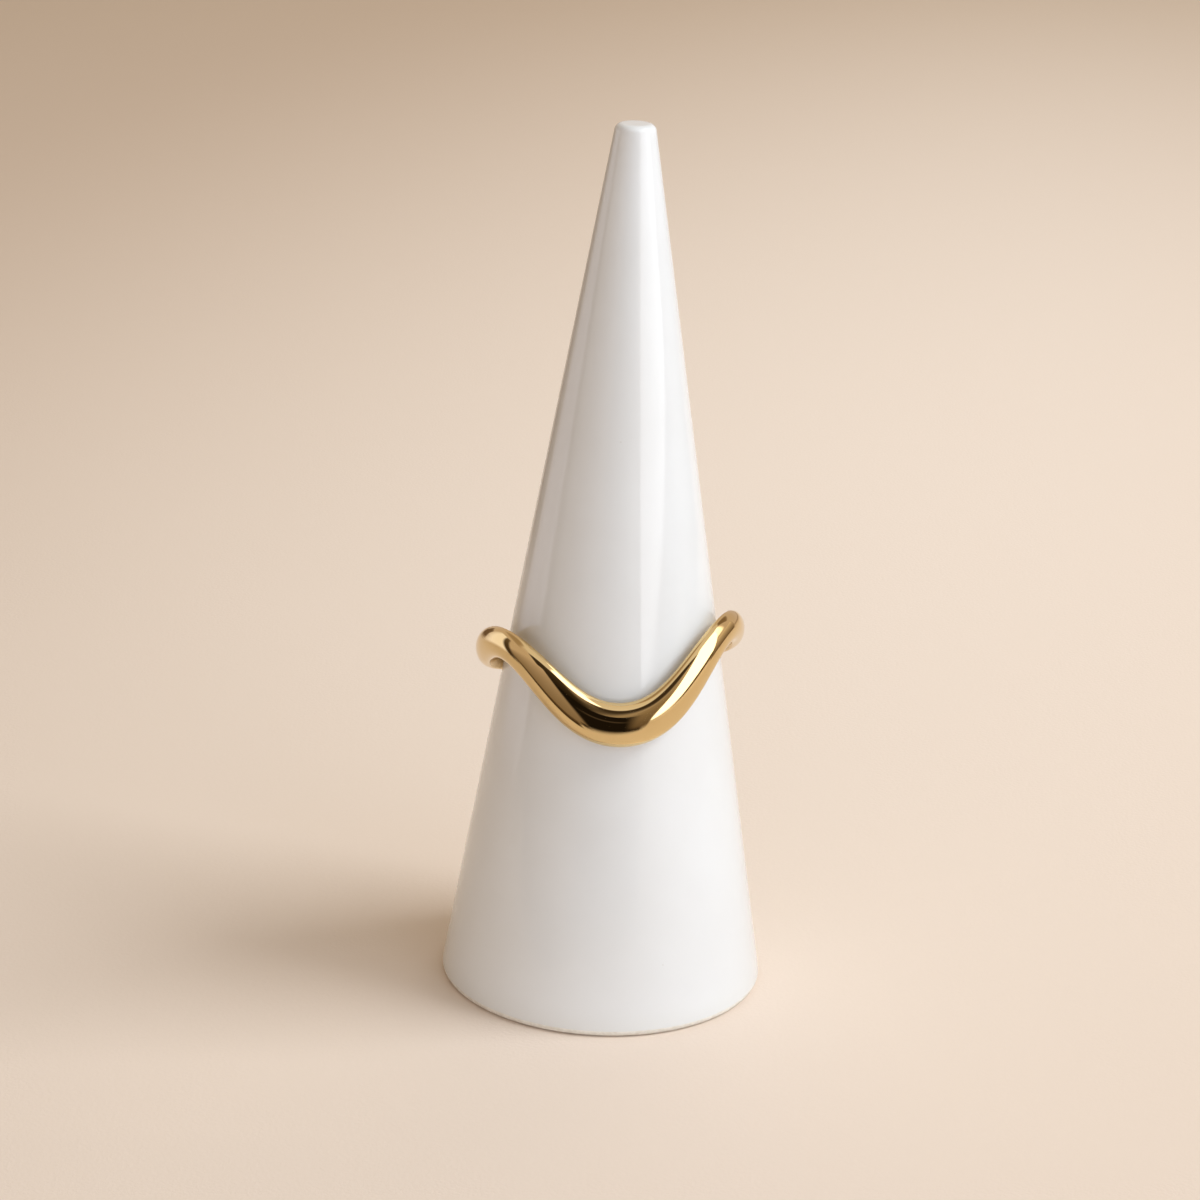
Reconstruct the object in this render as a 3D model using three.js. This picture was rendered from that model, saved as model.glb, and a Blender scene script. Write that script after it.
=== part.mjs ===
// A stackable wave ring resting on a plain glazed ring cone.
// Millimetres, +Z up, the origin at the middle of the cone's foot, the ring's front towards -Y.
import * as THREE from "three";

// The ring's finger hole, a size 7
const FINGER_HOLE_RADIUS = 8.65;

// The band's section: half its height and its thickness, at the front and at the back
const FRONT_HALF_HEIGHT = 1.63;
const BACK_HALF_HEIGHT = 1.11;
const FRONT_THICKNESS = 1.4;
const BACK_THICKNESS = 1.1;

// How fast the band slims down away from the front: a larger number keeps the width to the front
const TAPER_POWER = 8.4;

// The section's widest line parts a full dome outside from a shallow, flatter face on the finger. The share is
// how much of the thickness lies on the finger's side of it, and a roundness of 2 is an ellipse.
const FINGER_SIDE_SHARE = 0.25;
const DOME_ROUNDNESS = 2;
const FINGER_FACE_ROUNDNESS = 2.6;

// The wave: how far the valley lies under the crests, where a crest stands, counted from the front,
// and how much fuller than a plain cosine the valley's bottom is
const WAVE_DEPTH = 5;
const CREST_ANGLE = THREE.MathUtils.degToRad(61.6);
const VALLEY_FULLNESS = 0.115;

// Where the ring rests on the cone: the middle of its crest plane, and how it leans and is turned
const RING_CENTRE = new THREE.Vector3(-0.41, 0.2, 27.6);
const RING_LEAN_BACK = THREE.MathUtils.degToRad(-1.7);
const RING_LEAN_SIDE = THREE.MathUtils.degToRad(-4.5);
const RING_TURN = THREE.MathUtils.degToRad(6.1);

// The cone: a hollow casting with an open foot
const CONE_HEIGHT = 63.8;
const FOOT_RADIUS = 11.9;
const TIP_RADIUS = 1.38;
const SIDE_BULGE = 0.02;
const TIP_ROUNDING = 0.55;
const FOOT_ROUNDING = 0.45;
const RIM_INNER_ROUNDING = 0.3;
const WALL = 2.4;
const HOLLOW_HEIGHT = 46;
const HOLLOW_TOP_ROUNDING = 1.2;

// Fineness of the facets
const RING_STEPS = 144;
const SECTION_SIDES = 20;
const CONE_SIDES = 80;
const SIDE_STEPS = 12;
const HOLLOW_STEPS = 5;
const CORNER_STEPS = 10;

// Share of the front's size that is left at an angle from the front: 1 in front, falling smoothly to 0 behind.
function frontShare(angle) {
  return ((1 + Math.cos(angle)) / 2) ** TAPER_POWER;
}

// Height of the band's middle line against its crests. The wave's phase is four times the arctangent of
// tan(angle / 2) over tan(crest / 2), so it runs fast round the front and slowly round the back.
function bandHeight(angle) {
  const across = Math.sin(Math.abs(angle) / 2);
  const along = Math.cos(angle / 2) * Math.tan(CREST_ANGLE / 2);
  const phase = 4 * Math.atan2(across, along);
  return -WAVE_DEPTH * ((1 + Math.cos(phase)) / 2 + VALLEY_FULLNESS * Math.sin(phase) ** 2);
}

// The middle of the section's widest line at an angle from the front, positive towards +X.
function bandMiddle(angle) {
  const thickness = THREE.MathUtils.lerp(BACK_THICKNESS, FRONT_THICKNESS, frontShare(angle));
  const radius = FINGER_HOLE_RADIUS + FINGER_SIDE_SHARE * thickness;
  return new THREE.Vector3(radius * Math.sin(angle), -radius * Math.cos(angle), bandHeight(angle));
}

// A power of a cosine or sine that keeps its sign, which rounds or squares a section's outline.
function roundedPower(value, roundness) {
  return Math.sign(value) * Math.abs(value) ** (2 / roundness);
}

// The section's outline at an angle from the front: points across the band's run.
function bandSection(angle) {
  const share = frontShare(angle);
  const halfHeight = THREE.MathUtils.lerp(BACK_HALF_HEIGHT, FRONT_HALF_HEIGHT, share);
  const thickness = THREE.MathUtils.lerp(BACK_THICKNESS, FRONT_THICKNESS, share);
  const step = 1e-4;
  const run = bandMiddle(angle + step).sub(bandMiddle(angle - step));
  const outward = new THREE.Vector3(Math.sin(angle), -Math.cos(angle), 0);
  const upward = new THREE.Vector3().crossVectors(outward, run).normalize();
  const points = [];
  for (let side = 0; side < SECTION_SIDES; side += 1) {
    const round = (2 * Math.PI * side) / SECTION_SIDES;
    const outside = Math.cos(round) > 0;
    const roundness = outside ? DOME_ROUNDNESS : FINGER_FACE_ROUNDNESS;
    const depth = thickness * (outside ? 1 - FINGER_SIDE_SHARE : FINGER_SIDE_SHARE);
    const out = depth * roundedPower(Math.cos(round), roundness);
    const up = halfHeight * roundedPower(Math.sin(round), roundness);
    points.push(bandMiddle(angle).addScaledVector(outward, out).addScaledVector(upward, up));
  }
  return points;
}

// The whole band: sections all the way round, each joined to the next and the last to the first.
function bandGeometry() {
  const positions = [];
  for (let step = 0; step < RING_STEPS; step += 1) {
    const angle = (2 * Math.PI * step) / RING_STEPS - Math.PI;
    for (const point of bandSection(angle)) {
      positions.push(point.x, point.y, point.z);
    }
  }
  const faces = [];
  for (let step = 0; step < RING_STEPS; step += 1) {
    const here = step * SECTION_SIDES;
    const next = ((step + 1) % RING_STEPS) * SECTION_SIDES;
    for (let side = 0; side < SECTION_SIDES; side += 1) {
      const beside = (side + 1) % SECTION_SIDES;
      faces.push(here + side, next + side, next + beside);
      faces.push(here + side, next + beside, here + beside);
    }
  }
  const geometry = new THREE.BufferGeometry();
  geometry.setAttribute("position", new THREE.Float32BufferAttribute(positions, 3));
  geometry.setIndex(faces);
  geometry.computeVertexNormals();
  return geometry;
}

// Outer radius of the cone at a height: a straight taper with a slight bulge, greatest half way up.
function coneRadius(height) {
  const share = height / CONE_HEIGHT;
  return THREE.MathUtils.lerp(FOOT_RADIUS, TIP_RADIUS, share) + 4 * SIDE_BULGE * share * (1 - share);
}

// Points of an arc that rounds the corner of a profile, given the points before and after it.
function roundedCorner(before, corner, after, radius) {
  const back = before.clone().sub(corner).normalize();
  const on = after.clone().sub(corner).normalize();
  const half = Math.acos(back.dot(on)) / 2;
  const start = corner.clone().addScaledVector(back, radius / Math.tan(half));
  const middle = back.clone().add(on).normalize();
  const centre = corner.clone().addScaledVector(middle, radius / Math.sin(half));
  const spoke = start.clone().sub(centre);
  const sweep = (Math.PI - 2 * half) * Math.sign(on.cross(back));
  const points = [];
  for (let step = 0; step <= CORNER_STEPS; step += 1) {
    const turned = spoke.clone().rotateAround(new THREE.Vector2(), (sweep * step) / CORNER_STEPS);
    points.push(turned.add(centre));
  }
  return points;
}

// Points along a wall of the cone between two heights, without the ends.
function wallPoints(fromHeight, toHeight, inset, steps) {
  const points = [];
  for (let step = 1; step < steps; step += 1) {
    const height = THREE.MathUtils.lerp(fromHeight, toHeight, step / steps);
    points.push(new THREE.Vector2(coneRadius(height) - inset, height));
  }
  return points;
}

// The cone's profile: down inside the hollow, across the rim, up the outside and in over the tip.
function coneProfile() {
  const hollowTop = new THREE.Vector2(0, HOLLOW_HEIGHT);
  const hollowShoulder = new THREE.Vector2(coneRadius(HOLLOW_HEIGHT) - WALL, HOLLOW_HEIGHT);
  const rimInner = new THREE.Vector2(coneRadius(0) - WALL, 0);
  const rimOuter = new THREE.Vector2(coneRadius(0), 0);
  const shoulder = new THREE.Vector2(TIP_RADIUS, CONE_HEIGHT);
  const tip = new THREE.Vector2(0, CONE_HEIGHT);
  const hollow = wallPoints(HOLLOW_HEIGHT, 0, WALL, HOLLOW_STEPS);
  const side = wallPoints(0, CONE_HEIGHT, 0, SIDE_STEPS);
  return [
    hollowTop,
    ...roundedCorner(hollowTop, hollowShoulder, hollow[0], HOLLOW_TOP_ROUNDING),
    ...hollow,
    ...roundedCorner(hollow[HOLLOW_STEPS - 2], rimInner, rimOuter, RIM_INNER_ROUNDING),
    ...roundedCorner(rimInner, rimOuter, side[0], FOOT_ROUNDING),
    ...side,
    ...roundedCorner(side[SIDE_STEPS - 2], shoulder, tip, TIP_ROUNDING),
    tip,
  ];
}

const gold = new THREE.MeshStandardMaterial({ color: 0xd9a54e, roughness: 0.08, metalness: 1 });
const glaze = new THREE.MeshStandardMaterial({ color: 0xf1efec, roughness: 0.12, metalness: 0 });

const ring = new THREE.Mesh(bandGeometry(), gold);
ring.name = "wave_ring";
ring.position.copy(RING_CENTRE);
ring.rotation.set(RING_LEAN_BACK, RING_LEAN_SIDE, RING_TURN);

// A lathe turns its profile about Y, so the cone is stood up on Z.
const cone = new THREE.Mesh(new THREE.LatheGeometry(coneProfile(), CONE_SIDES), glaze);
cone.name = "ring_cone";
cone.rotation.x = Math.PI / 2;

const part = new THREE.Group();
part.add(cone, ring);
export default part;
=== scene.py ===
"""Dresses the stackable wave ring and the ring cone it rests on, and lights them in a plain studio."""

import logging
import math
from dataclasses import dataclass, field
from enum import Enum

import bpy
import numpy as np
from mathutils import Matrix, Vector


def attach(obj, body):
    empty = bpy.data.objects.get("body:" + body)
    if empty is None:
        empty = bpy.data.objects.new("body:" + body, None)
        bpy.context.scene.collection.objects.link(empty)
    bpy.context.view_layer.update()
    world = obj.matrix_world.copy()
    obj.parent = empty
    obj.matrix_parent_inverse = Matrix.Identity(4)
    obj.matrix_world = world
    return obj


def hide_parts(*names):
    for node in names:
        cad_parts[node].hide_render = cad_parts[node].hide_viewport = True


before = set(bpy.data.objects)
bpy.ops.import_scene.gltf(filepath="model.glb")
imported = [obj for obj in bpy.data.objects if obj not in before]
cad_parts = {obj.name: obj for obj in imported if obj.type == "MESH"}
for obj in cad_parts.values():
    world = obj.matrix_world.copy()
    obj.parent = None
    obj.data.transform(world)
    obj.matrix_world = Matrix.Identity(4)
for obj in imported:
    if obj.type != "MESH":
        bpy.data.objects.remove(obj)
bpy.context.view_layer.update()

log = logging.getLogger("wave_ring")

MM = 0.001
Colour = tuple[float, float, float, float]
Point = tuple[float, float, float]
ORIGIN: Point = (0.0, 0.0, 0.0)


class Body(str, Enum):
    """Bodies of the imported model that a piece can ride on."""

    ROOT = "root"


class Part(str, Enum):
    """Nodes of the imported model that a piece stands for."""

    RING = "wave_ring"
    CONE = "ring_cone"


class Slot(str, Enum):
    """Material slots of the record."""

    GOLD = "polished_gold"
    GLAZE = "white_glaze"


# Helpers for meshes


def mesh_from_arrays(name: str, points: np.ndarray, corners: np.ndarray, sides: np.ndarray) -> bpy.types.Mesh:
    """Makes a smooth mesh from whole arrays.

    Args:
        name: Name of the mesh.
        points: Places of the vertices, one row each, in metres.
        corners: Vertex numbers of every face's corners, face after face.
        sides: Number of corners of each face.

    Returns:
        The mesh, shaded smooth.
    """
    mesh = bpy.data.meshes.new(name)
    mesh.vertices.add(len(points))
    mesh.vertices.foreach_set("co", points.astype(np.float32).ravel())
    mesh.loops.add(len(corners))
    mesh.loops.foreach_set("vertex_index", corners.astype(np.int32))
    mesh.polygons.add(len(sides))
    mesh.polygons.foreach_set("loop_start", (np.cumsum(sides) - sides).astype(np.int32))
    mesh.polygons.foreach_set("use_smooth", np.ones(len(sides), dtype=bool))
    mesh.update(calc_edges=True)
    mesh.validate()
    return mesh


def point_values(mesh: bpy.types.Mesh, name: str, values: np.ndarray) -> None:
    """Stores one number per vertex as a named attribute that a material can read.

    Args:
        mesh: The mesh.
        name: Name of the attribute.
        values: The numbers, in the order of the vertices.
    """
    layer = mesh.attributes.new(name, "FLOAT", "POINT")
    layer.data.foreach_set("value", values.astype(np.float32).ravel())


def link_object(mesh: bpy.types.Mesh, name: str) -> bpy.types.Object:
    """Puts a mesh into the scene as an object at the origin."""
    piece = bpy.data.objects.new(name, mesh)
    bpy.context.scene.collection.objects.link(piece)
    return piece


def stand_for(piece: bpy.types.Object, part: Part, finish: bpy.types.Material) -> None:
    """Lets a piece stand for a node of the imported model.

    Args:
        piece: The piece, in place.
        part: The node that it replaces.
        finish: The material that it gets.
    """
    piece.data.materials.append(finish)
    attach(piece, Body.ROOT.value)
    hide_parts(part.value)


def smooth_ramp(value: np.ndarray, start: float, end: float) -> np.ndarray:
    """Smooth step from 0 at the start to 1 at the end: three times the share squared less twice its cube."""
    share = np.clip((value - start) / (end - start), 0.0, 1.0)
    return share * share * (3.0 - 2.0 * share)


# Helpers for materials


def put(tree: bpy.types.NodeTree, kind: str, inputs: dict | None = None,
        **settings: object) -> bpy.types.Node:
    """Adds a node, sets it and feeds its inputs.

    Args:
        tree: The node tree.
        kind: Blender's name for the kind of node.
        inputs: What each input gets, by name or number: a socket is linked, anything else is its value.
        **settings: Properties of the node itself.

    Returns:
        The new node.
    """
    node = tree.nodes.new(kind)
    for name, value in settings.items():
        setattr(node, name, value)
    for key, value in (inputs or {}).items():
        if isinstance(value, bpy.types.NodeSocket):
            tree.links.new(value, node.inputs[key])
        else:
            node.inputs[key].default_value = value
    return node


def maths(tree: bpy.types.NodeTree, operation: str, first: object,
          second: object = 0.0) -> bpy.types.NodeSocket:
    """Adds a Math node and returns its result."""
    return put(tree, "ShaderNodeMath", {0: first, 1: second}, operation=operation).outputs[0]


def blend_colours(tree: bpy.types.NodeTree, share: object, first: object,
                  second: object) -> bpy.types.NodeSocket:
    """Adds a node that goes from the first colour to the second by the share, and returns the colour."""
    inputs = {0: share, 6: first, 7: second}
    return put(tree, "ShaderNodeMix", inputs, data_type="RGBA").outputs[2]


def blend_values(tree: bpy.types.NodeTree, share: object, first: object,
                 second: object) -> bpy.types.NodeSocket:
    """Adds a node that goes from the first number to the second by the share, and returns the number."""
    inputs = {0: share, 2: first, 3: second}
    return put(tree, "ShaderNodeMix", inputs, data_type="FLOAT").outputs[0]


def spread(tree: bpy.types.NodeTree, value: object, low: object, high: object, to_low: object = 0.0,
           to_high: object = 1.0) -> bpy.types.NodeSocket:
    """Adds a smooth ramp node: low and below becomes to_low, high and above becomes to_high.

    Args:
        tree: The node tree.
        value: The number that is spread.
        low: Where the ramp starts.
        high: Where the ramp ends.
        to_low: The result at its start.
        to_high: The result at its end.

    Returns:
        The result's socket.
    """
    inputs = {"Value": value, "From Min": low, "From Max": high, "To Min": to_low, "To Max": to_high}
    return put(tree, "ShaderNodeMapRange", inputs, interpolation_type="SMOOTHSTEP").outputs["Result"]


def new_material(name: str) -> tuple[bpy.types.Material, bpy.types.NodeTree, bpy.types.Node]:
    """Makes a material.

    Args:
        name: Name of the material.

    Returns:
        The material, its node tree and its Principled shader.
    """
    material = bpy.data.materials.new(name)
    material.use_nodes = True
    tree = material.node_tree
    return material, tree, tree.nodes["Principled BSDF"]


def place_pattern(tree: bpy.types.NodeTree, centre: Point = ORIGIN) -> bpy.types.NodeSocket:
    """Object coordinates, moved so that their origin is at the given centre."""
    coordinates = put(tree, "ShaderNodeTexCoord")
    inputs = {"Vector": coordinates.outputs["Object"], "Location": tuple(-number for number in centre)}
    return put(tree, "ShaderNodeMapping", inputs).outputs["Vector"]


class EffectGroup:
    """A shader node group that more than one finish uses, with named inputs and outputs."""

    NUMBER = "NodeSocketFloat"
    VECTOR = "NodeSocketVector"

    def __init__(self, name: str, inputs: dict[str, object], output: str) -> None:
        """Makes the group with its sockets.

        Args:
            name: Name of the group.
            inputs: Each input's name with its usual value, or None for a vector.
            output: Name of the one number that it puts out.
        """
        self.tree = bpy.data.node_groups.new(name, "ShaderNodeTree")
        for socket_name, value in inputs.items():
            kind = self.VECTOR if value is None else self.NUMBER
            socket = self.tree.interface.new_socket(socket_name, in_out="INPUT", socket_type=kind)
            if value is not None:
                socket.default_value = value
        self.tree.interface.new_socket(output, in_out="OUTPUT", socket_type=self.NUMBER)
        self.given = put(self.tree, "NodeGroupInput").outputs
        self.result = put(self.tree, "NodeGroupOutput").inputs[output]

    def finish(self, socket: bpy.types.NodeSocket) -> None:
        """Sends a socket out of the group."""
        self.tree.links.new(socket, self.result)

    def use(self, tree: bpy.types.NodeTree, inputs: dict) -> bpy.types.NodeSocket:
        """Places the group in a material and returns its output."""
        return put(tree, "ShaderNodeGroup", inputs, node_tree=self.tree).outputs[0]


@dataclass
class Effects:
    """The shared effects: soft mottling, polishing lines and small specks."""

    mottle: EffectGroup = field(init=False)
    lines: EffectGroup = field(init=False)
    specks: EffectGroup = field(init=False)

    def __post_init__(self) -> None:
        """Builds every group once."""
        self.mottle = self.make_mottle()
        self.lines = self.make_lines()
        self.specks = self.make_specks()

    def make_mottle(self) -> EffectGroup:
        """Cloudy noise, spread from a low to a high number."""
        usual = {"Vector": None, "Scale": 300.0, "Detail": 3.0, "Low": 0.0, "High": 1.0}
        group = EffectGroup("Soft Mottle", usual, "Value")
        given = group.given
        noise = put(group.tree, "ShaderNodeTexNoise",
                    {"Vector": given["Vector"], "Scale": given["Scale"], "Detail": given["Detail"]})
        group.finish(spread(group.tree, noise.outputs[0], 0.3, 0.7, given["Low"], given["High"]))
        return group

    def make_lines(self) -> EffectGroup:
        """Fine lines: noise drawn out along X and tight across Y, of which only the crests stay."""
        usual = {"Vector": None, "Length": 150.0, "Fineness": 9000.0, "Share": 0.5}
        group = EffectGroup("Polishing Lines", usual, "Height")
        given = group.given
        parts = put(group.tree, "ShaderNodeSeparateXYZ", {0: given["Vector"]})
        along = maths(group.tree, "MULTIPLY", parts.outputs[0], given["Length"])
        across = maths(group.tree, "MULTIPLY", parts.outputs[1], given["Fineness"])
        drawn = put(group.tree, "ShaderNodeCombineXYZ", {0: along, 1: across, 2: parts.outputs[2]})
        noise = put(group.tree, "ShaderNodeTexNoise",
                    {"Vector": drawn.outputs[0], "Scale": 1.0, "Detail": 2.0})
        start = maths(group.tree, "SUBTRACT", 1.0, given["Share"])
        group.finish(spread(group.tree, noise.outputs[0], start, 0.8))
        return group

    def make_specks(self) -> EffectGroup:
        """Round specks: one in each cell of a Voronoi pattern, in the cells that a second pattern picks."""
        usual = {"Vector": None, "Cells": 900.0, "Size": 0.2, "Rarity": 0.8}
        group = EffectGroup("Small Specks", usual, "Mask")
        given = group.given
        cells = put(group.tree, "ShaderNodeTexVoronoi", {"Vector": given["Vector"], "Scale": given["Cells"]})
        inner = maths(group.tree, "MULTIPLY", given["Size"], 0.4)
        near = spread(group.tree, cells.outputs["Distance"], inner, given["Size"], 1.0, 0.0)
        drawn = put(group.tree, "ShaderNodeSeparateColor", {0: cells.outputs["Color"]}).outputs[0]
        chosen = maths(group.tree, "GREATER_THAN", drawn, given["Rarity"])
        group.finish(maths(group.tree, "MULTIPLY", near, chosen))
        return group


# Finishes


@dataclass(frozen=True)
class PolishedGold:
    """Mirror-polished yellow gold outside, satin with polishing lines on the finger's face."""

    colour: Colour = (0.78, 0.59, 0.30, 1.0)
    warm_colour: Colour = (0.76, 0.57, 0.28, 1.0)
    satin_colour: Colour = (0.74, 0.55, 0.27, 1.0)
    roughness: float = 0.035
    cloudy_roughness: float = 0.065
    satin_roughness: float = 0.24
    centre: Point = (-0.41 * MM, 0.2 * MM, 27.6 * MM)
    tint_scale: float = 420.0
    cloud_scale: float = 900.0
    wave_scale: float = 330.0
    wave_depth: float = 0.0007 * MM
    line_length: float = 260.0
    line_fineness: float = 16000.0
    line_share: float = 0.42
    line_haze: float = 0.05
    line_depth: float = 0.002 * MM
    faint_line_share: float = 0.05

    def material(self, effects: Effects) -> bpy.types.Material:
        """Makes the material.

        Args:
            effects: The shared node groups.

        Returns:
            The material. It reads the attribute finger_face and the UV map band, in metres along and across.
        """
        material, tree, shader = new_material("polished_gold")
        where = place_pattern(tree, self.centre)
        run = put(tree, "ShaderNodeUVMap", uv_map="band").outputs[0]
        satin = put(tree, "ShaderNodeAttribute", attribute_name="finger_face").outputs["Fac"]
        cloud = effects.mottle.use(tree, {"Vector": where, "Scale": self.tint_scale, "Detail": 4.0})
        bright = blend_colours(tree, cloud, self.colour, self.warm_colour)
        tree.links.new(blend_colours(tree, satin, bright, self.satin_colour), shader.inputs["Base Color"])
        buffed = effects.lines.use(tree, {"Vector": run, "Length": self.line_length,
                                          "Fineness": self.line_fineness, "Share": self.line_share})
        dull = effects.mottle.use(tree, {"Vector": where, "Scale": self.cloud_scale, "Detail": 5.0})
        polish = blend_values(tree, dull, self.roughness, self.cloudy_roughness)
        hazed = maths(tree, "ADD", polish, maths(tree, "MULTIPLY", buffed, self.line_haze))
        tree.links.new(blend_values(tree, satin, hazed, self.satin_roughness), shader.inputs["Roughness"])
        shader.inputs["Metallic"].default_value = 1.0
        waves = effects.mottle.use(tree, {"Vector": where, "Scale": self.wave_scale, "Detail": 1.0})
        hand = put(tree, "ShaderNodeBump", {"Height": waves, "Strength": 1.0, "Distance": self.wave_depth})
        depth = blend_values(tree, satin, self.faint_line_share, 1.0)
        scratched = maths(tree, "MULTIPLY", buffed, depth)
        bump = put(tree, "ShaderNodeBump", {"Height": scratched, "Strength": 1.0, "Distance": self.line_depth,
                                            "Normal": hand.outputs[0]})
        tree.links.new(bump.outputs[0], shader.inputs["Normal"])
        return material


@dataclass(frozen=True)
class GlazedPorcelain:
    """Glossy white glaze that ends in an uneven line at the foot, over a bare, matt body."""

    glaze: Colour = (0.765, 0.758, 0.752, 1.0)
    glaze_shade: Colour = (0.74, 0.73, 0.72, 1.0)
    # Darker glaze colour, used towards the foot.
    foot_darkening: Colour = (0.73, 0.72, 0.70, 1.0)
    speck: Colour = (0.52, 0.46, 0.40, 1.0)
    body: Colour = (0.80, 0.76, 0.69, 1.0)
    body_shade: Colour = (0.70, 0.65, 0.57, 1.0)
    roughness: float = 0.03
    cloudy_roughness: float = 0.055
    body_roughness: float = 0.78
    cloud_scale: float = 110.0
    haze_scale: float = 160.0
    edge_scale: float = 700.0
    edge_unevenness: float = 0.1
    edge_start: float = 0.44
    edge_end: float = 0.56
    speck_cells: float = 420.0
    speck_size: float = 0.045
    speck_rarity: float = 0.8
    speck_strength: float = 0.35
    pit_cells: float = 650.0
    pit_size: float = 0.05
    pit_rarity: float = 0.85
    grain_scale: float = 2600.0
    grain_height: float = 3.0
    ripple_scale: float = 240.0
    ripple_height: float = 0.09
    relief: float = 0.008 * MM
    refraction: float = 1.45

    def material(self, effects: Effects) -> bpy.types.Material:
        """Makes the material.

        Args:
            effects: The shared node groups.

        Returns:
            The material. It reads the attributes bare, for unglazed places, and foot, for those near the foot.
        """
        material, tree, shader = new_material("white_glaze")
        where = place_pattern(tree)
        bare = put(tree, "ShaderNodeAttribute", attribute_name="bare").outputs["Fac"]
        foot = put(tree, "ShaderNodeAttribute", attribute_name="foot").outputs["Fac"]
        edge = effects.mottle.use(tree, {"Vector": where, "Scale": self.edge_scale,
                                         "Low": -self.edge_unevenness, "High": self.edge_unevenness})
        unglazed = spread(tree, maths(tree, "ADD", bare, edge), self.edge_start, self.edge_end)
        cloud = effects.mottle.use(tree, {"Vector": where, "Scale": self.cloud_scale, "Detail": 4.0})
        glaze = blend_colours(tree, cloud, self.glaze, self.glaze_shade)
        # The glaze goes darker towards the foot.
        glaze = blend_colours(tree, foot, glaze, self.foot_darkening)
        specks = effects.specks.use(tree, {"Vector": where, "Cells": self.speck_cells,
                                           "Size": self.speck_size, "Rarity": self.speck_rarity})
        faint = maths(tree, "MULTIPLY", specks, self.speck_strength)
        glaze = blend_colours(tree, faint, glaze, self.speck)
        grains = effects.mottle.use(tree, {"Vector": where, "Scale": self.grain_scale, "Detail": 6.0})
        clay = blend_colours(tree, grains, self.body, self.body_shade)
        tree.links.new(blend_colours(tree, unglazed, glaze, clay), shader.inputs["Base Color"])
        hazy = effects.mottle.use(tree, {"Vector": where, "Scale": self.haze_scale, "Detail": 5.0,
                                         "Low": self.roughness, "High": self.cloudy_roughness})
        tree.links.new(blend_values(tree, unglazed, hazy, self.body_roughness), shader.inputs["Roughness"])
        shader.inputs["IOR"].default_value = self.refraction
        ripple = effects.mottle.use(tree, {"Vector": where, "Scale": self.ripple_scale, "Detail": 1.0})
        pits = effects.specks.use(tree, {"Vector": where, "Cells": self.pit_cells, "Size": self.pit_size,
                                         "Rarity": self.pit_rarity})
        glossy_height = maths(tree, "SUBTRACT", maths(tree, "MULTIPLY", ripple, self.ripple_height), pits)
        clay_height = maths(tree, "MULTIPLY", grains, self.grain_height)
        height = blend_values(tree, unglazed, glossy_height, clay_height)
        bump = put(tree, "ShaderNodeBump", {"Height": height, "Strength": 1.0, "Distance": self.relief})
        tree.links.new(bump.outputs[0], shader.inputs["Normal"])
        return material


@dataclass(frozen=True)
class StudioPaper:
    """Warm matt paper with a fine grain and a painted pool of light: pale in a long patch behind the object and
    tan beside it.
    """

    # The first two colours paint a pool of light on the paper: the lit patch's tone, then the darker tan of its
    # falloff.
    painted_pool_colour: Colour = (0.91, 0.785, 0.69, 1.0)
    tan: Colour = (0.70, 0.56, 0.455, 1.0)
    fibre: Colour = (0.78, 0.65, 0.54, 1.0)
    painted_pool_centre: Point = (0.041, 0.217, 0.0)
    painted_pool_radius: float = 0.005
    painted_falloff_radius: float = 0.163
    painted_pool_turn: float = -0.282
    painted_pool_length: float = 3.2
    grain_scale: float = 3600.0
    grain_share: float = 0.10
    tooth_scale: float = 3200.0
    tooth_strength: float = 0.6
    tooth_depth: float = 0.012 * MM
    roughness: float = 0.9
    specular_level: float = 0.15

    def material(self, effects: Effects) -> bpy.types.Material:
        """Makes the material.

        Args:
            effects: The shared node groups.

        Returns:
            The material.
        """
        material, tree, shader = new_material("studio_paper")
        where = place_pattern(tree)
        # Painted pool of light: the paper is pale near the middle of a long patch and goes to tan further out,
        # as a light's falloff would.
        stretch = {"Vector": where, "Location": self.painted_pool_centre, "Rotation": (0.0, 0.0, self.painted_pool_turn),
                   "Scale": (1.0, self.painted_pool_length, 1.0)}
        painted_pool_place = put(tree, "ShaderNodeMapping", stretch, vector_type="TEXTURE").outputs["Vector"]
        distance_from_pool = put(tree, "ShaderNodeVectorMath", {0: painted_pool_place}, operation="LENGTH").outputs["Value"]
        painted_falloff = spread(tree, distance_from_pool, self.painted_pool_radius, self.painted_falloff_radius)
        painted_pool_ground = blend_colours(tree, painted_falloff, self.painted_pool_colour, self.tan)
        grain = effects.mottle.use(tree, {"Vector": where, "Scale": self.grain_scale, "Detail": 4.0,
                                          "Low": 0.0, "High": self.grain_share})
        tree.links.new(blend_colours(tree, grain, painted_pool_ground, self.fibre), shader.inputs["Base Color"])
        shader.inputs["Roughness"].default_value = self.roughness
        shader.inputs["Specular IOR Level"].default_value = self.specular_level
        tooth = effects.mottle.use(tree, {"Vector": where, "Scale": self.tooth_scale, "Detail": 3.0})
        bump = put(tree, "ShaderNodeBump", {"Height": tooth, "Strength": self.tooth_strength,
                                            "Distance": self.tooth_depth})
        tree.links.new(bump.outputs[0], shader.inputs["Normal"])
        return material


# The ring


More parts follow.
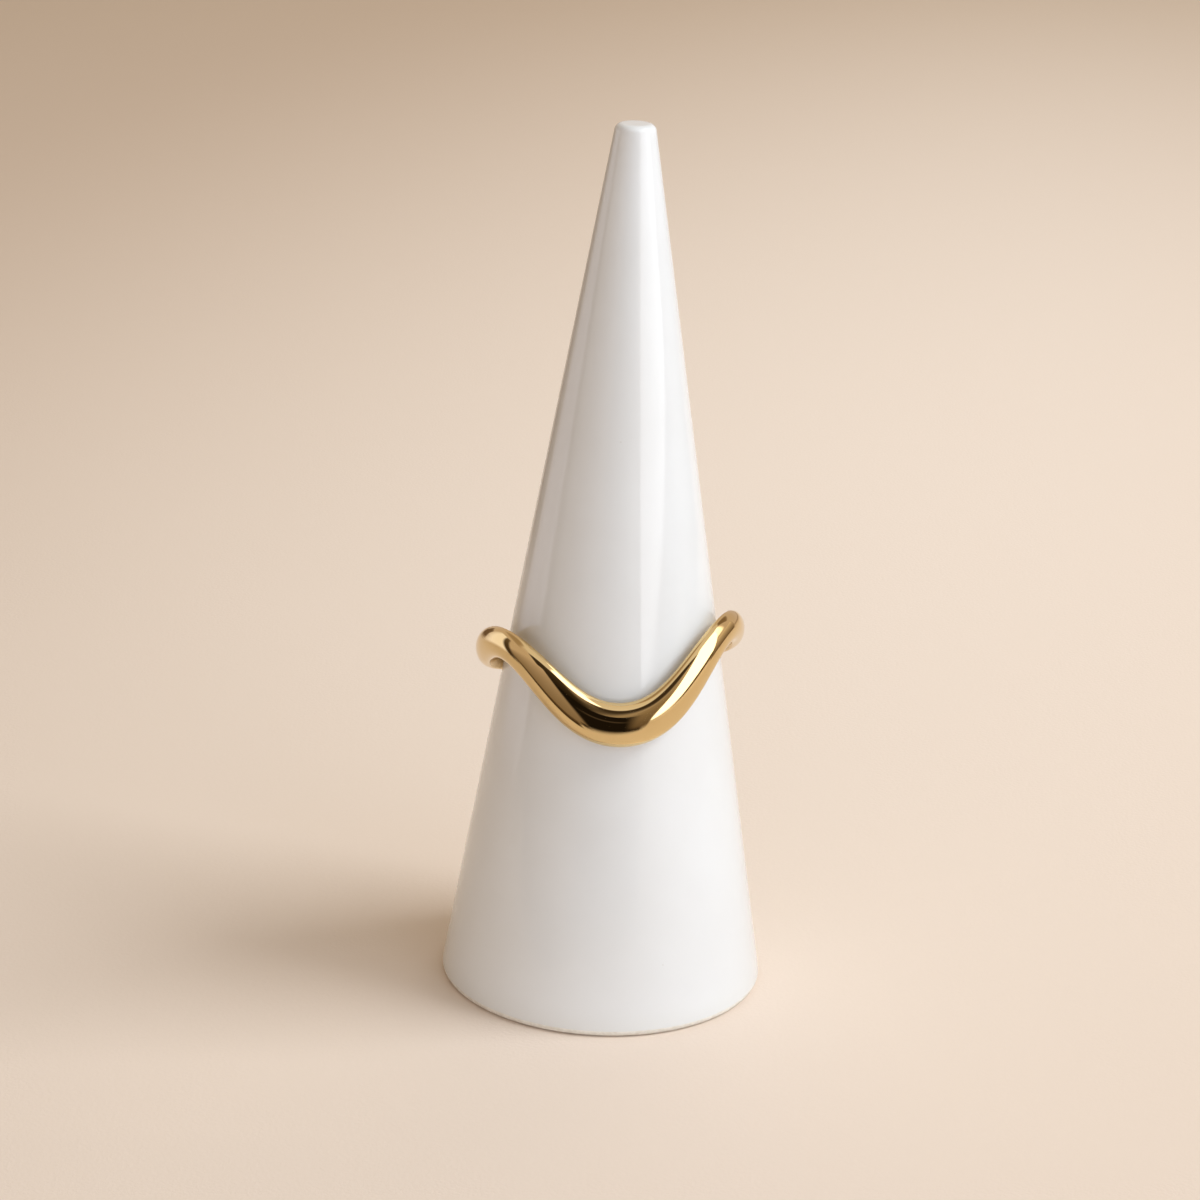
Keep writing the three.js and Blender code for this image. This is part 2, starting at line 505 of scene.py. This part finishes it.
@dataclass
class WaveRing:
    """The domed gold band: a round finger hole, a deep wave in front and one as deep but longer behind."""

    finger_hole_radius: float = 8.65 * MM
    front_half_height: float = 1.63 * MM
    back_half_height: float = 1.11 * MM
    front_thickness: float = 1.4 * MM
    back_thickness: float = 1.1 * MM
    taper_power: float = 8.4
    finger_side_share: float = 0.25
    dome_roundness: float = 2.0
    finger_face_roundness: float = 2.6
    wave_depth: float = 5.0 * MM
    crest_angle: float = math.radians(61.6)
    valley_fullness: float = 0.115
    centre: Point = (-0.41 * MM, 0.2 * MM, 27.6 * MM)
    lean_back: float = math.radians(-1.7)
    lean_side: float = math.radians(-4.5)
    turn: float = math.radians(6.1)
    satin_start: float = 0.05
    satin_full: float = 0.55
    tangent_step: float = 1e-4
    steps: int = 640
    sides: int = 112

    def front_share(self, angle: np.ndarray) -> np.ndarray:
        """Half of one plus the cosine, to a power: 1 in front, falling smoothly to 0 behind."""
        return ((1.0 + np.cos(angle)) / 2.0) ** self.taper_power

    def height(self, angle: np.ndarray) -> np.ndarray:
        """Height of the band's middle line against its crests.

        The phase is four times the arctangent of tan(angle / 2) over tan(crest / 2). The height is minus the
        depth, times half of one plus the phase's cosine plus the fullness times its sine squared.

        Args:
            angle: Angles from the front, in radians.

        Returns:
            The heights, in metres.
        """
        across = np.sin(np.abs(angle) / 2.0)
        along = np.cos(angle / 2.0) * math.tan(self.crest_angle / 2.0)
        phase = 4.0 * np.arctan2(across, along)
        return -self.wave_depth * ((1.0 + np.cos(phase)) / 2.0 + self.valley_fullness * np.sin(phase) ** 2)

    def thickness(self, angle: np.ndarray) -> np.ndarray:
        """The band's thickness: the back's, growing to the front's by the front share."""
        return self.back_thickness + (self.front_thickness - self.back_thickness) * self.front_share(angle)

    def middle_line(self, angle: np.ndarray) -> np.ndarray:
        """The middle of the section's widest line, on a circle in plan that follows the wave up and down."""
        radius = self.finger_hole_radius + self.finger_side_share * self.thickness(angle)
        return np.stack([radius * np.sin(angle), -radius * np.cos(angle), self.height(angle)], axis=-1)

    def surface(self, angle: np.ndarray, turn: np.ndarray) -> np.ndarray:
        """Points of the band: the middle line, plus a rounded D carried along it.

        Across the band a point goes out by a depth times the power 2 / roundness of the cosine, and up by
        half the height times the same power of the sine, the powers keeping their signs. The depth and
        roundness are the dome's where the cosine is positive, and those of the finger's face elsewhere.

        Args:
            angle: Angles from the front, shaped to broadcast against turn.
            turn: Angles round the section, from straight out towards up.

        Returns:
            The points, with x, y and z last, in the ring's own frame.
        """
        run = self.middle_line(angle + self.tangent_step) - self.middle_line(angle - self.tangent_step)
        outward = np.stack([np.sin(angle), -np.cos(angle), np.zeros_like(angle)], axis=-1)
        upward = np.cross(outward, run)
        upward /= np.linalg.norm(upward, axis=-1, keepdims=True)
        outside = np.cos(turn) > 0.0
        power = 2.0 / np.where(outside, self.dome_roundness, self.finger_face_roundness)
        share = np.where(outside, 1.0 - self.finger_side_share, self.finger_side_share)
        out = np.sign(np.cos(turn)) * np.abs(np.cos(turn)) ** power * share * self.thickness(angle)
        growth = self.front_half_height - self.back_half_height
        half = self.back_half_height + growth * self.front_share(angle)
        up = np.sign(np.sin(turn)) * np.abs(np.sin(turn)) ** power * half
        return self.middle_line(angle) + out[..., None] * outward + up[..., None] * upward

    def placed(self, points: np.ndarray) -> np.ndarray:
        """Turns points about Z, then leans them about Y and X, and moves them to the ring's centre."""
        lean_back = Matrix.Rotation(self.lean_back, 3, "X")
        lean_side = Matrix.Rotation(self.lean_side, 3, "Y")
        turned = np.array(lean_back @ lean_side @ Matrix.Rotation(self.turn, 3, "Z"))
        return points @ turned.T + np.array(self.centre)

    def build(self, finish: bpy.types.Material) -> bpy.types.Object:
        """Builds the band as one closed mesh with its UV map and the mask of its finger's face.

        Args:
            finish: The gold.

        Returns:
            The piece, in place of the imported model's ring.
        """
        angles = 2.0 * math.pi * np.arange(self.steps) / self.steps - math.pi
        turns = 2.0 * math.pi * np.arange(self.sides) / self.sides
        points = self.placed(self.surface(angles[:, None], turns[None, :]))
        here, beside = np.meshgrid(np.arange(self.steps), np.arange(self.sides), indexing="ij")
        rows = np.stack([here, here + 1, here + 1, here], axis=-1).reshape(-1)
        columns = np.stack([beside, beside, beside + 1, beside + 1], axis=-1).reshape(-1)
        corners = (rows % self.steps) * self.sides + columns % self.sides
        mesh = mesh_from_arrays("gold_wave_ring", points.reshape(-1, 3), corners, np.full(here.size, 4))
        length_round = 2.0 * math.pi * self.finger_hole_radius
        girth = 4.0 * self.back_half_height
        along = rows / self.steps * length_round
        across = columns / self.sides * girth
        layer = mesh.uv_layers.new(name="band")
        layer.data.foreach_set("uv", np.stack([along, across], axis=-1).astype(np.float32).ravel())
        face = smooth_ramp(-np.cos(turns), self.satin_start, self.satin_full)
        point_values(mesh, "finger_face", np.tile(face, self.steps))
        piece = link_object(mesh, "gold_wave_ring")
        stand_for(piece, Part.RING, finish)
        return piece


# The cone


@dataclass
class RingCone:
    """The slip-cast cone: a slightly bulged side, a flattened tip, and a hollow that opens at the foot."""

    height: float = 63.8 * MM
    foot_radius: float = 11.9 * MM
    tip_radius: float = 1.38 * MM
    side_bulge: float = 0.02 * MM
    tip_rounding: float = 0.55 * MM
    foot_rounding: float = 0.45 * MM
    rim_inner_rounding: float = 0.3 * MM
    wall: float = 2.4 * MM
    hollow_height: float = 46.0 * MM
    hollow_top_rounding: float = 1.2 * MM
    glaze_line: float = 0.16 * MM
    darkening_start: float = 0.4 * MM
    darkening_end: float = 2.2 * MM
    tangent_steps: int = 12
    hollow_tangent_steps: int = 5
    segments: int = 288
    side_rows: int = 110
    hollow_rows: int = 40
    corner_rows: int = 10
    flat_rows: int = 4

    def radius(self, height: np.ndarray | float) -> np.ndarray | float:
        """Outer radius: a straight taper, plus 4 times bulge times share times (1 - share) of the height."""
        share = height / self.height
        taper = self.foot_radius + (self.tip_radius - self.foot_radius) * share
        return taper + 4.0 * self.side_bulge * share * (1.0 - share)

    def corner(self, before: np.ndarray, corner: np.ndarray, after: np.ndarray, radius: float) -> np.ndarray:
        """An arc that rounds a corner of the profile and touches both of its sides.

        The arc's centre lies on the corner's bisector, at the radius over the sine of half the angle.

        Args:
            before: Point before the corner.
            corner: The corner itself.
            after: Point after it.
            radius: Radius of the rounding.

        Returns:
            The arc's points, from the side before to the side after.
        """
        back = (before - corner) / np.linalg.norm(before - corner)
        on = (after - corner) / np.linalg.norm(after - corner)
        half = math.acos(float(back @ on)) / 2.0
        bisector = (back + on) / np.linalg.norm(back + on)
        centre = corner + bisector * radius / math.sin(half)
        spoke = corner + back * radius / math.tan(half) - centre
        sweep = (math.pi - 2.0 * half) * np.sign(on[0] * back[1] - on[1] * back[0])
        turned = sweep * np.linspace(0.0, 1.0, self.corner_rows + 1)
        across = spoke[0] * np.cos(turned) - spoke[1] * np.sin(turned)
        upward = spoke[0] * np.sin(turned) + spoke[1] * np.cos(turned)
        return centre + np.stack([across, upward], axis=-1)

    def flat(self, start: np.ndarray, end: np.ndarray) -> np.ndarray:
        """Points on a straight piece of the profile, between its two ends and without them."""
        share = np.arange(1, self.flat_rows)[:, None] / self.flat_rows
        return start + (end - start) * share

    def slope(self, start: float, end: float, inset: float, rows: int) -> np.ndarray:
        """Points on the outer side, or at an inset from it, between two heights and without them."""
        heights = start + (end - start) * np.arange(1, rows) / rows
        return np.stack([self.radius(heights) - inset, heights], axis=-1)

    def profile(self) -> np.ndarray:
        """The profile as radius and height: down the hollow, across the rim, up the side, in over the tip."""
        hollow_top = np.array([0.0, self.hollow_height])
        hollow_shoulder = np.array([self.radius(self.hollow_height) - self.wall, self.hollow_height])
        rim_inner = np.array([self.foot_radius - self.wall, 0.0])
        rim_outer = np.array([self.foot_radius, 0.0])
        shoulder = np.array([self.tip_radius, self.height])
        tip = np.array([0.0, self.height])
        hollow_sides = self.slope(self.hollow_height, 0.0, self.wall, self.hollow_tangent_steps)
        outer_sides = self.slope(0.0, self.height, 0.0, self.tangent_steps)
        top_arc = self.corner(hollow_top, hollow_shoulder, hollow_sides[0], self.hollow_top_rounding)
        inner_arc = self.corner(hollow_sides[-1], rim_inner, rim_outer, self.rim_inner_rounding)
        foot_arc = self.corner(rim_inner, rim_outer, outer_sides[0], self.foot_rounding)
        tip_arc = self.corner(outer_sides[-1], shoulder, tip, self.tip_rounding)
        return np.concatenate([
            hollow_top[None],
            self.flat(hollow_top, top_arc[0]),
            top_arc,
            self.slope(top_arc[-1, 1], inner_arc[0, 1], self.wall, self.hollow_rows),
            inner_arc,
            self.flat(inner_arc[-1], foot_arc[0]),
            foot_arc,
            self.slope(foot_arc[-1, 1], tip_arc[0, 1], 0.0, self.side_rows),
            tip_arc,
            self.flat(tip_arc[-1], tip),
            tip[None],
        ])

    def build(self, finish: bpy.types.Material) -> bpy.types.Object:
        """Turns the profile about Z, with a single point at each pole, and marks what is glazed.

        Args:
            finish: The glazed porcelain.

        Returns:
            The piece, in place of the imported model's cone.
        """
        profile = self.profile()
        rings = profile[1:-1]
        around = 2.0 * math.pi * np.arange(self.segments) / self.segments
        reach, level = rings[:, None, 0], rings[:, None, 1]
        places = np.broadcast_arrays(reach * np.sin(around), -reach * np.cos(around), level)
        turned = np.stack(places, axis=-1)
        poles = np.array([[0.0, 0.0, profile[0, 1]], [0.0, 0.0, profile[-1, 1]]])
        points = np.concatenate([turned.reshape(-1, 3), poles])
        first_pole = len(points) - 2
        last_row = (len(rings) - 1) * self.segments
        row, column = np.meshgrid(np.arange(len(rings) - 1), np.arange(self.segments), indexing="ij")
        beside = (column + 1) % self.segments
        quads = np.stack([row * self.segments + column, row * self.segments + beside,
                          (row + 1) * self.segments + beside, (row + 1) * self.segments + column], axis=-1)
        here = np.arange(self.segments)
        following = (here + 1) % self.segments
        hollow_fan = np.stack([following, here, np.full_like(here, first_pole)], axis=-1)
        last_pole = np.full_like(here, first_pole + 1)
        tip_fan = np.stack([last_row + here, last_row + following, last_pole], axis=-1)
        corners = np.concatenate([quads.ravel(), hollow_fan.ravel(), tip_fan.ravel()])
        sides = np.concatenate([np.full(quads.size // 4, 4), np.full(2 * self.segments, 3)])
        mesh = mesh_from_arrays("glazed_ring_cone", points, corners, sides)
        self.mark_glaze(mesh, profile)
        piece = link_object(mesh, "glazed_ring_cone")
        stand_for(piece, Part.CONE, finish)
        return piece

    def mark_glaze(self, mesh: bpy.types.Mesh, profile: np.ndarray) -> None:
        """Stores where the body is bare and how near the foot a glazed place is.

        Args:
            mesh: The cone's mesh, its vertices in the order of the profile's rings, then its two poles.
            profile: The profile's points.
        """
        outer_start = 1 + int(np.argmax(profile[:, 0]))
        number = np.arange(len(profile))
        outside = (number >= outer_start) & (profile[:, 1] > 0.0)
        glazed = smooth_ramp(profile[:, 1], 0.0, self.glaze_line) * outside
        # Share of the darker glaze colour: 1 at the foot, falling to 0 higher up.
        foot_darkening = 1.0 - smooth_ramp(profile[:, 1], self.darkening_start, self.darkening_end)
        for name, values in (("bare", 1.0 - glazed), ("foot", foot_darkening)):
            rings = np.repeat(values[1:-1], self.segments)
            point_values(mesh, name, np.concatenate([rings, values[[0, -1]]]))


# The studio


@dataclass(frozen=True)
class Softbox:
    """A rectangular light that faces a point near the object. Reflections see the cards and not the light."""

    name: str
    place: Point
    aim: Point
    width: float
    height: float
    radiance: float
    colour: tuple[float, float, float]

    def build(self) -> bpy.types.Object:
        """Hangs the light. Its power is the radiance times four times its area."""
        lamp = bpy.data.lights.new(self.name, "AREA")
        lamp.shape = "RECTANGLE"
        lamp.size = self.width
        lamp.size_y = self.height
        lamp.energy = 4.0 * self.width * self.height * self.radiance
        lamp.color = self.colour
        holder = bpy.data.objects.new(self.name, lamp)
        bpy.context.scene.collection.objects.link(holder)
        holder.location = self.place
        holder.rotation_euler = (Vector(self.aim) - Vector(self.place)).to_track_quat("-Z", "Y").to_euler()
        holder.visible_camera = False
        holder.visible_glossy = False
        return holder


def toward(azimuth: float, distance: float, height: float) -> Point:
    """A point at a distance from the axis, its azimuth in degrees from the camera's side towards +X."""
    angle = math.radians(azimuth)
    return (distance * math.sin(angle), -distance * math.cos(angle), height)


@dataclass(frozen=True)
class Card:
    """A card that only reflections see.

    Its corners are the lower left, lower right, upper right and upper left one, as azimuth grows to the right.
    Its colour runs from the lower edge's to the upper edge's, and each edge fades out over a share of the card.
    """

    name: str
    corners: tuple[Point, Point, Point, Point]
    colour: Colour
    upper_colour: Colour
    left_fade: float
    right_fade: float
    lower_fade: float
    upper_fade: float
    steps: int = 12

    def build(self) -> bpy.types.Object:
        """Stands the card as a grid between its corners, with a UV map that runs from 0 to 1 both ways."""
        lower_left, lower_right, upper_right, upper_left = (np.array(corner) for corner in self.corners)
        share = np.arange(self.steps + 1) / self.steps
        across, upward = (grid.ravel()[:, None] for grid in np.meshgrid(share, share, indexing="ij"))
        lower = lower_left + (lower_right - lower_left) * across
        upper = upper_left + (upper_right - upper_left) * across
        points = lower + (upper - lower) * upward
        column, row = (grid.ravel() for grid in np.meshgrid(*[np.arange(self.steps)] * 2, indexing="ij"))
        first = column * (self.steps + 1) + row
        beside = first + self.steps + 1
        corners = np.stack([first, beside, beside + 1, first + 1], axis=-1).ravel()
        mesh = mesh_from_arrays(self.name, points, corners, np.full(first.size, 4))
        layer = mesh.uv_layers.new(name="card")
        shares = np.concatenate([across, upward], axis=-1)[corners]
        layer.data.foreach_set("uv", shares.astype(np.float32).ravel())
        card = link_object(mesh, self.name)
        mesh.materials.append(self.material())
        card.visible_camera = False
        card.visible_diffuse = False
        card.visible_shadow = False
        card.visible_transmission = False
        return card

    def material(self) -> bpy.types.Material:
        """Glow that fades into clearness along the card's edges."""
        material, tree, shader = new_material(self.name)
        tree.nodes.remove(shader)
        place = put(tree, "ShaderNodeUVMap", uv_map="card").outputs[0]
        parts = put(tree, "ShaderNodeSeparateXYZ", {0: place})
        across, upward = parts.outputs[0], parts.outputs[1]
        sides = maths(tree, "MULTIPLY", spread(tree, across, 0.0, self.left_fade),
                      spread(tree, across, 1.0 - self.right_fade, 1.0, 1.0, 0.0))
        ends = maths(tree, "MULTIPLY", spread(tree, upward, 0.0, self.lower_fade),
                     spread(tree, upward, 1.0 - self.upper_fade, 1.0, 1.0, 0.0))
        shown = maths(tree, "MULTIPLY", sides, ends)
        tint = blend_colours(tree, upward, self.colour, self.upper_colour)
        glow = put(tree, "ShaderNodeEmission", {"Color": tint, "Strength": 1.0})
        clear = put(tree, "ShaderNodeBsdfTransparent")
        mixed = put(tree, "ShaderNodeMixShader", {0: shown, 1: clear.outputs[0], 2: glow.outputs[0]})
        tree.links.new(mixed.outputs[0], tree.nodes["Material Output"].inputs["Surface"])
        material.cycles.emission_sampling = "NONE"
        return material


@dataclass(frozen=True)
class Camera:
    """The camera at the photograph's place and angle."""

    place: Point = (-1.134 * MM, -224.577 * MM, 107.6 * MM)
    pitch_down: float = math.radians(19.279)
    roll: float = math.radians(2.32)
    lens: float = 99.0
    sensor: float = 36.0

    def build(self) -> bpy.types.Object:
        """Sets the camera up: it looks along +Y, tipped down and rolled about its own line of sight."""
        data = bpy.data.cameras.new("camera")
        data.lens = self.lens
        data.sensor_width = self.sensor
        data.clip_start = 5.0 * MM
        data.clip_end = 10.0
        ahead = Vector((0.0, math.cos(self.pitch_down), -math.sin(self.pitch_down)))
        level = Vector((1.0, 0.0, 0.0))
        above = level.cross(ahead)
        right = math.cos(self.roll) * level + math.sin(self.roll) * above
        up = -math.sin(self.roll) * level + math.cos(self.roll) * above
        holder = bpy.data.objects.new("camera", data)
        bpy.context.scene.collection.objects.link(holder)
        turn = Matrix((right, up, -ahead)).transposed().to_4x4()
        holder.matrix_world = Matrix.Translation(self.place) @ turn
        bpy.context.scene.camera = holder
        return holder


@dataclass
class Studio:
    """A pale paper floor, lights, an even fill, and what the reflections see of the room.

    The main light hangs on the right and casts the shadow, the others soften it. Lengths are in metres.
    """

    floor_radius: float = 1.7
    floor_drop: float = 0.01 * MM
    floor_sides: int = 96
    fill: Colour = (0.25, 0.205, 0.155, 1.0)
    room: Colour = (0.65, 0.53, 0.45, 1.0)
    horizon: Colour = (0.62, 0.50, 0.39, 1.0)
    lights: tuple[Softbox, ...] = (
        Softbox("key_light", (0.342, -0.026, 0.394), (0.0, 0.0, 0.03), 0.29, 0.19, 8.3, (0.87, 0.945, 1.0)),
        Softbox("side_light", (0.373, -0.252, 0.25), (0.0, 0.0, 0.25), 0.459, 0.5, 0.77, (0.77, 0.87, 1.0)),
        Softbox("front_light", (0.26, -0.371, 0.241), (0.0, 0.0, 0.03), 0.4, 0.4, 0.70, (0.50, 0.76, 1.0)),
        Softbox("top_light", (0.0, 0.0, 0.6), (0.0, 0.0, 0.0), 0.5, 0.5, 0.50, (1.0, 0.86, 0.68)),
        Softbox("backdrop_light", (0.12, 0.40, 0.38), (0.06, 0.30, 0.0), 0.26, 0.2, 1.25, (0.88, 0.87, 0.95)),
        Softbox("warm_wall", (-0.05, 0.95, 0.35), (0.0, 0.0, 0.02), 1.3, 0.7, 0.31, (1.0, 0.87, 0.35)),
        Softbox("front_bounce", (0.0, -0.55, 0.11), (0.0, 0.0, 0.04), 0.8, 0.14, 1.95, (0.93, 0.95, 1.0)),
        Softbox("back_bounce", (0.0, 0.8, 0.08), (0.0, 0.0, 0.08), 1.1, 0.16, 0.67, (1.0, 0.93, 0.81)),
        Softbox("left_bounce", (-0.46, 0.02, 0.09), (0.0, 0.0, 0.04), 0.50, 0.14, 0.50, (1.0, 0.86, 0.74)),
    )
    cards: tuple[Card, ...] = (
        Card("camera_side", (toward(-28.5, 0.033, 0.0002), toward(28.0, 0.053, 0.0002),
                             toward(24.0, 0.30, 0.155), toward(-27.0, 0.30, 0.155)),
             (0.013, 0.009, 0.006, 1.0), (0.013, 0.009, 0.006, 1.0), 0.04, 0.16, 0.045, 0.12),
        Card("lens_streak", (toward(-20.0, 0.06, 0.0265), toward(15.0, 0.06, 0.0265),
                             toward(15.0, 0.06, 0.032), toward(-20.0, 0.06, 0.032)),
             (0.07, 0.052, 0.040, 1.0), (0.07, 0.052, 0.040, 1.0), 0.30, 0.30, 0.40, 0.40),
        Card("right_brown", (toward(9.0, 0.05, 0.004), toward(29.0, 0.05, 0.004),
                             toward(27.0, 0.05, 0.060), toward(9.0, 0.05, 0.060)),
             (0.10, 0.062, 0.036, 1.0), (0.40, 0.30, 0.20, 1.0), 0.50, 0.10, 0.25, 0.30),
        Card("brown_top", (toward(-14.0, 0.33, 0.165), toward(24.0, 0.33, 0.165),
                           toward(22.0, 0.33, 0.34), toward(-10.0, 0.33, 0.34)),
             (0.36, 0.28, 0.20, 1.0), (0.46, 0.37, 0.30, 1.0), 0.15, 0.15, 0.10, 0.30),
        Card("dark_strip", (toward(-28.0, 0.31, 0.12), toward(-1.0, 0.31, 0.12),
                            toward(36.0, 0.31, 0.46), toward(-46.0, 0.31, 0.46)),
             (0.022, 0.014, 0.009, 1.0), (0.07, 0.050, 0.030, 1.0), 0.10, 0.22, 0.10, 0.12),
        Card("table_edge", ((-0.40, -0.028, 0.0002), (-0.0145, -0.028, 0.0002), (-0.0205, -0.040, 0.006),
                            (-0.40, -0.040, 0.006)),
             (0.05, 0.030, 0.012, 1.0), (0.12, 0.075, 0.040, 1.0), 0.02, 0.01, 0.20, 0.50),
        Card("room_left", ((-0.50, -0.037, 0.0002), (-0.012, -0.037, 0.0002), (-0.029, -0.073, 0.084),
                           (-0.50, -0.073, 0.084)),
             (0.25, 0.18, 0.12, 1.0), (0.66, 0.53, 0.46, 1.0), 0.02, 0.01, 0.03, 0.10),
        Card("strip_edge", (toward(-88.0, 0.075, 0.0002), toward(-71.0, 0.075, 0.0002),
                            toward(-84.0, 0.18, 0.18), toward(-104.0, 0.18, 0.18)),
             (0.05, 0.028, 0.010, 1.0), (0.22, 0.16, 0.10, 1.0), 0.38, 0.30, 0.06, 0.25),
        Card("left_rear", (toward(-156.0, 0.085, 0.006), toward(-127.0, 0.085, 0.006),
                           toward(-129.0, 0.14, 0.070), toward(-156.0, 0.14, 0.070)),
             (0.16, 0.10, 0.06, 1.0), (0.20, 0.13, 0.08, 1.0), 0.25, 0.20, 0.20, 0.30),
        Card("left_strip", (toward(-140.0, 0.09, 0.0002), toward(-74.0, 0.09, 0.0002),
                            toward(-88.0, 0.25, 0.23), toward(-134.0, 0.25, 0.20)),
             (1.20, 1.15, 1.25, 1.0), (1.15, 1.12, 1.20, 1.0), 0.45, 0.06, 0.06, 0.15),
        Card("softbox", (toward(28.5, 0.26, 0.0), toward(83.0, 0.26, 0.04), toward(92.0, 0.35, 0.75),
                         toward(24.0, 0.35, 0.75)),
             (3.0, 2.95, 2.95, 1.0), (3.0, 2.95, 2.95, 1.0), 0.03, 0.04, 0.015, 0.10),
        Card("softbox_wing", (toward(78.0, 0.34, 0.17), toward(108.0, 0.34, 0.17), toward(124.0, 0.36, 0.75),
                              toward(78.0, 0.36, 0.75)),
             (2.2, 2.0, 1.8, 1.0), (2.9, 2.8, 2.7, 1.0), 0.03, 0.45, 0.10, 0.10),
        Card("softbox_rim", (toward(44.0, 0.20, 0.006), toward(88.0, 0.20, 0.010), toward(88.0, 0.20, 0.056),
                             toward(44.0, 0.20, 0.016)),
             (0.16, 0.11, 0.06, 1.0), (0.16, 0.11, 0.06, 1.0), 0.30, 0.05, 0.30, 0.28),
        Card("low_right", (toward(84.0, 0.18, 0.002), toward(130.0, 0.18, 0.002), toward(126.0, 0.24, 0.12),
                           toward(84.0, 0.24, 0.12)),
             (0.14, 0.09, 0.05, 1.0), (0.95, 0.78, 0.62, 1.0), 0.06, 0.10, 0.05, 0.15),
        Card("ceiling_left", (toward(-160.0, 0.62, 0.42), toward(-58.0, 0.62, 0.50),
                              toward(-60.0, 0.16, 0.74), toward(-160.0, 0.16, 0.74)),
             (0.40, 0.30, 0.20, 1.0), (0.44, 0.33, 0.23, 1.0), 0.15, 0.25, 0.25, 0.30),
        Card("rear_right", (toward(124.0, 0.50, 0.30), toward(168.0, 0.50, 0.30), toward(168.0, 0.34, 0.72),
                            toward(116.0, 0.34, 0.72)),
             (0.26, 0.18, 0.11, 1.0), (0.24, 0.16, 0.09, 1.0), 0.15, 0.25, 0.20, 0.25),
        Card("ceiling", ((-0.5, 0.5, 0.85), (0.6, 0.5, 0.85), (0.6, -0.5, 0.80), (-0.5, -0.5, 0.80)),
             (0.76, 0.66, 0.58, 1.0), (0.88, 0.82, 0.78, 1.0), 0.3, 0.1, 0.2, 0.1),
    )

    def floor(self, paper: bpy.types.Material) -> bpy.types.Object:
        """Lays the floor: one flat face with many sides, nearly round, just under the foot.

        Args:
            paper: The paper's material.

        Returns:
            The floor.
        """
        numbers = np.arange(self.floor_sides)
        rim = 2.0 * math.pi * numbers / self.floor_sides
        points = np.stack([self.floor_radius * np.cos(rim), self.floor_radius * np.sin(rim),
                           np.full_like(rim, -self.floor_drop)], axis=-1)
        mesh = mesh_from_arrays("paper_floor", points, numbers, np.array([self.floor_sides]))
        sheet = link_object(mesh, "paper_floor")
        sheet.data.materials.append(paper)
        return sheet

    def surroundings(self) -> None:
        """Gives the world an even fill, reflections the room's warm walls and the camera a paler horizon."""
        world = bpy.data.worlds.new("studio_air")
        world.use_nodes = True
        tree = world.node_tree
        path = put(tree, "ShaderNodeLightPath").outputs
        air = blend_colours(tree, path["Is Glossy Ray"], self.fill, self.room)
        colour = blend_colours(tree, path["Is Camera Ray"], air, self.horizon)
        tree.links.new(colour, tree.nodes["Background"].inputs["Color"])
        bpy.context.scene.world = world

    def build(self, effects: Effects) -> None:
        """Sets up floor, fill, lights and cards, and shows tones as they are."""
        self.floor(StudioPaper().material(effects))
        self.surroundings()
        for lamp in self.lights:
            lamp.build()
        for card in self.cards:
            card.build()
        bpy.context.scene.view_settings.view_transform = "Standard"


def main() -> None:
    """Builds the scene: camera, ring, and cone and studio."""
    Camera().build()
    effects = Effects()
    ring = WaveRing().build(PolishedGold().material(effects))
    log.info("%s: %d faces", ring.name, len(ring.data.polygons))
    cone = RingCone().build(GlazedPorcelain().material(effects))
    log.info("%s: %d faces", cone.name, len(cone.data.polygons))
    Studio().build(effects)
    log.info("studio: floor, fill, lights and cards")


if __name__ == "__main__":
    logging.basicConfig(level=logging.INFO)
    main()
